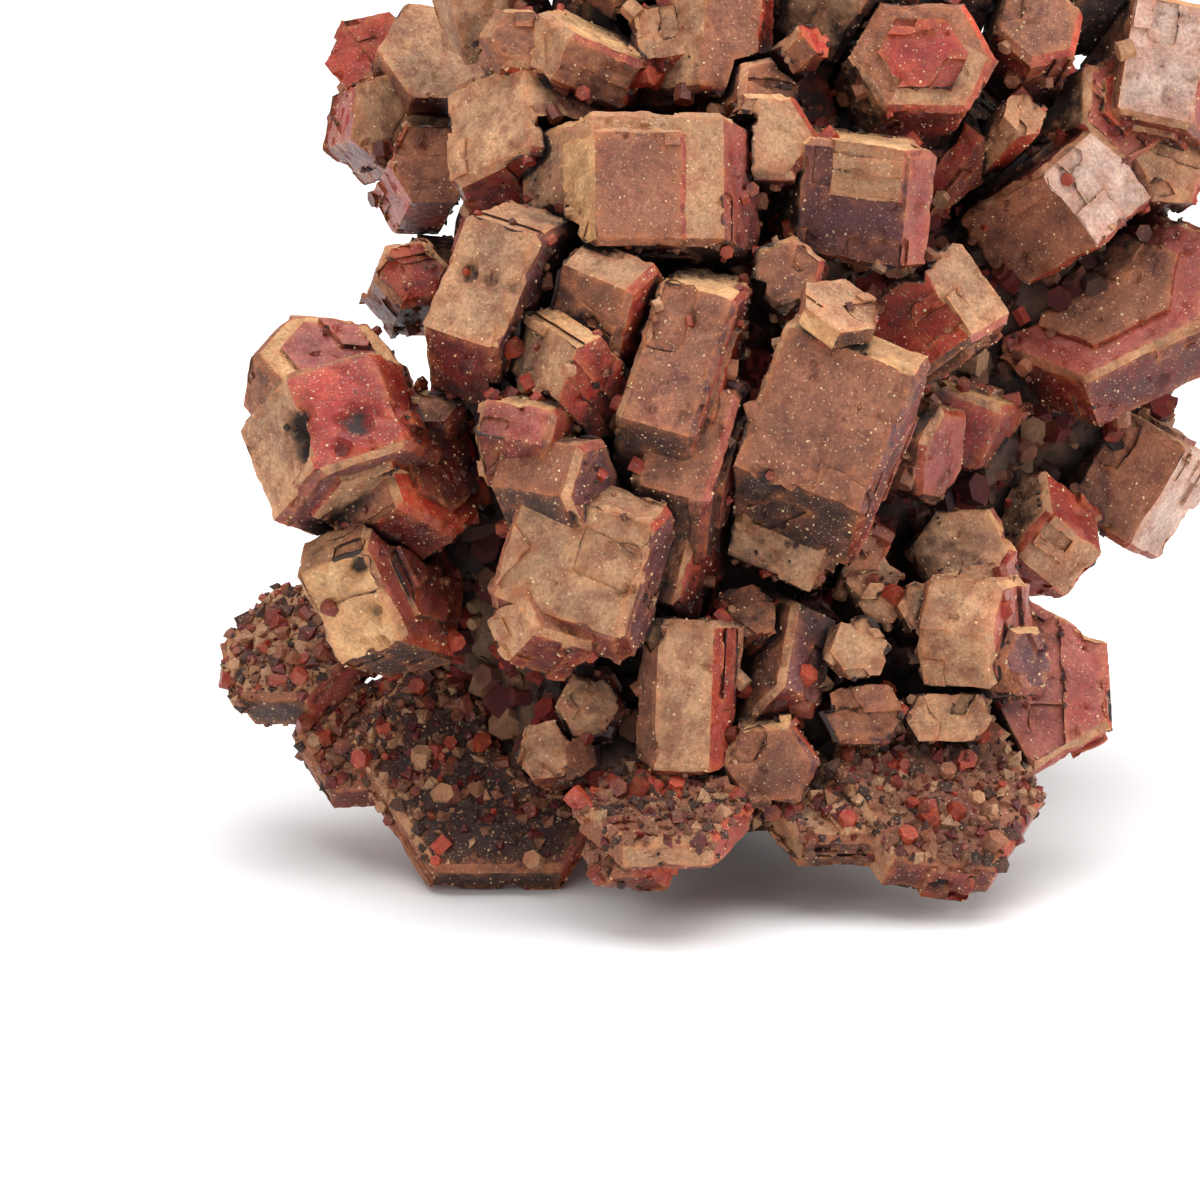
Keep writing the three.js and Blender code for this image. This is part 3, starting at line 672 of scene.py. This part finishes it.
def soil_plate(surface, points, faces, face_shade, scatter):
    """Crumbs of soil and small crystals over the upper faces of a plate, thicker towards its upper part."""
    corners = points[faces]
    normals = np.cross(corners[:, 1] - corners[:, 0], corners[:, 2] - corners[:, 0])
    upward = normals[:, 2] > PLATE_UPWARD * np.linalg.norm(normals, axis=1)
    heights = corners[:, :, 2].mean(axis=1)
    low, high = heights.min(), heights.max()
    thickness = (heights - low) / (high - low) * PLATE_COVER_SLOPE - PLATE_COVER_START
    cover = upward * (face_shade < PLATE_CLOSED_SHADE) * np.clip(thickness, 0, 1)
    spots, _, picked = spots_on(points, faces, cover, PLATE_SOIL_DENSITY, scatter)
    radii = radii_between(PLATE_SOIL_RADIUS, len(spots), scatter)
    scatter_grains(surface, spots, radii, PLATE_SOIL_LOOKS, face_shade[picked] * PLATE_SHADE, scatter)
    spots, directions, picked = spots_on(points, faces, cover, PLATE_BUD_DENSITY, scatter)
    radii = radii_between(BUD_RADIUS, len(spots), scatter)
    scatter_buds(surface, spots, directions, radii, face_shade[picked] * PLATE_SHADE, scatter)


def dress_rock(tree, material):
    """The visible mesh of the rock, with soil and small crystals near where the crystals grow."""
    scatter = np.random.default_rng(SEED)
    solid = welded_copy("matrix")
    layer = solid.faces.layers.int.new("look")
    for face in solid.faces:
        face[layer] = LOOK_NAMES.index("rock")
    refine(solid, ROCK_EDGE)
    points, faces, looks, ridge, shade = bare_surface(solid, tree, lambda place, _: rock_relief(place), None)
    solid.free()
    surface = Surface()
    surface.add(points, faces, looks, ridge, shade)
    face_shade = shade[faces].mean(axis=1)
    middles = points[faces].mean(axis=1)
    near_crystals = np.clip((face_shade - ROCK_CROWD_START) * ROCK_CROWD_SLOPE, ROCK_CROWD_LEAST, 1)
    crowded = near_crystals * (face_shade < ROCK_CLOSED_SHADE) * (middles[:, 2] > ROCK_BARE_HEIGHT)
    spots, normals, picked = spots_on(points, faces, crowded, ROCK_BUD_DENSITY, scatter)
    radii = radii_between(ROCK_BUD_RADIUS, len(spots), scatter)
    scatter_buds(surface, spots, normals, radii, face_shade[picked] * ROCK_BUD_SHADE, scatter)
    spots, _, picked = spots_on(points, faces, crowded, ROCK_SOIL_DENSITY, scatter)
    radii = radii_between(SOIL_RADIUS, len(spots), scatter)
    scatter_grains(surface, spots, radii, SOIL_LOOKS, face_shade[picked], scatter)
    return surface.to_object("matrix_surface", material)


class Shader:
    """Short calls for building one node material."""

    def __init__(self, name):
        self.material = bpy.data.materials.new(name)
        self.material.use_nodes = True
        self.nodes = self.material.node_tree.nodes
        self.links = self.material.node_tree.links
        self.surface = self.nodes["Principled BSDF"]
        self.place = self.nodes.new("ShaderNodeTexCoord").outputs["Object"]

    def attribute(self, name, output):
        node = self.nodes.new("ShaderNodeAttribute")
        node.attribute_name = name
        return node.outputs[output]

    def noise(self, per_mm, detail=4, roughness=0.6):
        node = self.nodes.new("ShaderNodeTexNoise")
        node.inputs["Scale"].default_value = per_mm / MM
        node.inputs["Detail"].default_value = detail
        node.inputs["Roughness"].default_value = roughness
        self.links.new(self.place, node.inputs["Vector"])
        return node.outputs["Fac"]

    def ranged(self, value, low, high, to_low=0.0, to_high=1.0):
        node = self.nodes.new("ShaderNodeMapRange")
        for label, number in (("From Min", low), ("From Max", high), ("To Min", to_low), ("To Max", to_high)):
            node.inputs[label].default_value = number
        self.links.new(value, node.inputs["Value"])
        return node.outputs["Result"]

    def math(self, operation, first, second):
        node = self.nodes.new("ShaderNodeMath")
        node.operation = operation
        for socket, value in zip(node.inputs, (first, second)):
            self.feed(value, socket)
        return node.outputs["Value"]

    def mix(self, share, first, second, blend="MIX"):
        node = self.nodes.new("ShaderNodeMix")
        node.data_type = "RGBA"
        node.blend_type = blend
        self.feed(share, node.inputs[0])
        self.feed(first, node.inputs[6])
        self.feed(second, node.inputs[7])
        return node.outputs[2]

    def feed(self, value, socket):
        if isinstance(value, bpy.types.NodeSocket):
            self.links.new(value, socket)
        else:
            socket.default_value = value

    def bump(self, height, strength, distance):
        node = self.nodes.new("ShaderNodeBump")
        node.inputs["Strength"].default_value = strength
        node.inputs["Distance"].default_value = distance
        self.links.new(height, node.inputs["Height"])
        self.links.new(node.outputs["Normal"], self.surface.inputs["Normal"])


# The edge colour is a painted highlight; the soil colour serves both for dark flecks and for painted shade.
EDGE_HIGHLIGHT_COLOUR = tuple(linear((204, 120, 66)))
SPECK_COLOUR = tuple(linear((214, 182, 146)))
SOIL_AND_SHADE_COLOUR = tuple(linear((27, 12, 12)))
RUST_COLOUR = tuple(linear((150, 92, 54)))
EDGE_HIGHLIGHT_SHARE = 0.6
CRYSTAL_BUMP = 0.08 * MM
ROCK_BUMP = 0.12 * MM
BUMP_STRENGTH = 0.8


def crystal_material(slot, patch_scale):
    """Dusty crystal faces: patches, fine mottling, specks, a painted highlight along the edges and painted
    shade in the corners.
    """
    shader = Shader(slot)
    patches = shader.ranged(shader.noise(patch_scale, 6), 0.44, 0.62)
    colour = shader.mix(patches, shader.attribute("main", "Color"), shader.attribute("patch", "Color"))
    mottle = shader.ranged(shader.noise(5, 5, 0.7), 0.3, 0.7, 0.6, 1.42)
    colour = shader.mix(1.0, colour, mottle, "MULTIPLY")
    clouds = shader.ranged(shader.noise(0.35, 3), 0.3, 0.7, 0.62, 1.36)
    colour = shader.mix(1.0, colour, clouds, "MULTIPLY")
    flecks = shader.ranged(shader.noise(4, 3, 0.5), 0.64, 0.74, 0.0, 0.5)
    colour = shader.mix(flecks, colour, SOIL_AND_SHADE_COLOUR)
    specks = shader.ranged(shader.noise(7.5, 2), 0.64, 0.7, 0.0, 0.7)
    colour = shader.mix(specks, colour, SPECK_COLOUR)
    # Painted highlight: a lighter orange along the outward edges, for the light that shines through them.
    ridge = shader.attribute("ridge", "Fac")
    edge_highlight = shader.math("MULTIPLY", ridge, shader.ranged(shader.noise(1.6), 0.35, 0.65))
    colour = shader.mix(shader.math("MULTIPLY", edge_highlight, EDGE_HIGHLIGHT_SHARE), colour, EDGE_HIGHLIGHT_COLOUR)
    # Painted shade: the colour darkens towards the soil colour where the shade attribute says the surface is
    # closed in.
    shade = shader.attribute("shade", "Fac")
    closed = shader.math("ADD", shade, shader.ranged(shader.noise(1.2, 5), 0.3, 0.7, -0.2, 0.2))
    painted_shade = shader.ranged(closed, 0.32, 0.8, 0.0, 0.96)
    colour = shader.mix(painted_shade, colour, SOIL_AND_SHADE_COLOUR)
    shader.feed(colour, shader.surface.inputs["Base Color"])
    rough = shader.ranged(shader.attribute("gloss", "Fac"), 0, 1, 0.78, 0.3)
    rough = shader.math("ADD", rough, shader.ranged(shader.noise(3), 0.3, 0.7, -0.08, 0.1))
    shader.feed(rough, shader.surface.inputs["Roughness"])
    shader.bump(shader.noise(7, 6, 0.7), BUMP_STRENGTH, CRYSTAL_BUMP)
    return shader.material


def rock_material():
    """Brown matrix rock with dark and rusty patches, and painted shade where it is closed in."""
    shader = Shader("matrix_rock")
    patches = shader.ranged(shader.noise(0.25, 6), 0.4, 0.62)
    colour = shader.mix(patches, shader.attribute("main", "Color"), shader.attribute("patch", "Color"))
    rust = shader.ranged(shader.noise(0.6, 6), 0.55, 0.7, 0.0, 0.6)
    colour = shader.mix(rust, colour, RUST_COLOUR)
    mottle = shader.ranged(shader.noise(4, 6, 0.7), 0.3, 0.7, 0.5, 1.4)
    colour = shader.mix(1.0, colour, mottle, "MULTIPLY")
    # Painted shade: darker where the shade attribute says the rock is closed in.
    painted_shade = shader.ranged(shader.attribute("shade", "Fac"), 0.3, 0.75, 0.0, 0.95)
    colour = shader.mix(painted_shade, colour, SOIL_AND_SHADE_COLOUR)
    shader.feed(colour, shader.surface.inputs["Base Color"])
    shader.feed(shader.ranged(shader.noise(2), 0.3, 0.7, 0.75, 0.95), shader.surface.inputs["Roughness"])
    shader.bump(shader.noise(5, 8, 0.75), BUMP_STRENGTH, ROCK_BUMP)
    return shader.material


def dress_all():
    """One visible piece for every node."""
    tree, owners = solid_faces()
    places = seen_places(tree, owners, SEEN_FACES)
    hollows = seen_places(tree, owners, SEEN_HOLLOWS)
    slots = node_slots()
    materials = {slot: crystal_material(slot, scale) for slot, scale in PATCHES_PER_MM.items()}
    materials["matrix_rock"] = rock_material()
    for name, slot in sorted(slots.items()):
        if slot == "matrix_rock":
            piece = dress_rock(tree, materials[slot])
        else:
            own = places.get(name, []), hollows.get(name, [])
            piece = dress_crystal(name, slot, tree, *own, materials[slot])
        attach(piece, "root")
        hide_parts(name)


def add_floor():
    half = FLOOR_HALF_WIDTH
    mesh = bpy.data.meshes.new("floor")
    corners = [(-half, -half, 0), (half, -half, 0), (half, half, 0), (-half, half, 0)]
    mesh.from_pydata(corners, [], [(0, 1, 2, 3)])
    material = bpy.data.materials.new("floor")
    material.use_nodes = True
    surface = material.node_tree.nodes["Principled BSDF"]
    surface.inputs["Base Color"].default_value = FLOOR_COLOUR
    surface.inputs["Roughness"].default_value = FLOOR_ROUGHNESS
    mesh.materials.append(material)
    floor = bpy.data.objects.new("floor", mesh)
    bpy.context.scene.collection.objects.link(floor)


def add_camera():
    data = bpy.data.cameras.new("camera")
    data.lens = CAMERA_LENS
    data.sensor_width = CAMERA_SENSOR
    data.clip_start = CAMERA_CLIP_START
    camera = bpy.data.objects.new("camera", data)
    camera.location = CAMERA_PLACE
    camera.rotation_euler = (math.pi / 2 - FRONT_LEAN, 0, 0)
    bpy.context.scene.collection.objects.link(camera)
    bpy.context.scene.camera = camera


def add_light(kind, name, place, strength, size):
    data = bpy.data.lights.new(name, kind)
    data.energy = strength
    if kind == "SUN":
        data.angle = size
    else:
        data.size = size
    light = bpy.data.objects.new(name, data)
    light.location = place
    light.rotation_euler = (LIGHT_TARGET - Vector(place)).to_track_quat("-Z", "Y").to_euler()
    bpy.context.scene.collection.objects.link(light)


def add_lights():
    for name, (kind, place, strength, size) in LIGHTS.items():
        add_light(kind, name, place, strength, size)
    world = bpy.data.worlds.new("studio")
    world.use_nodes = True
    background = world.node_tree.nodes["Background"]
    background.inputs["Color"].default_value = WORLD_COLOUR
    background.inputs["Strength"].default_value = WORLD_STRENGTH
    bpy.context.scene.world = world
    bpy.context.scene.view_settings.view_transform = "Standard"


dress_all()
add_floor()
add_camera()
add_lights()
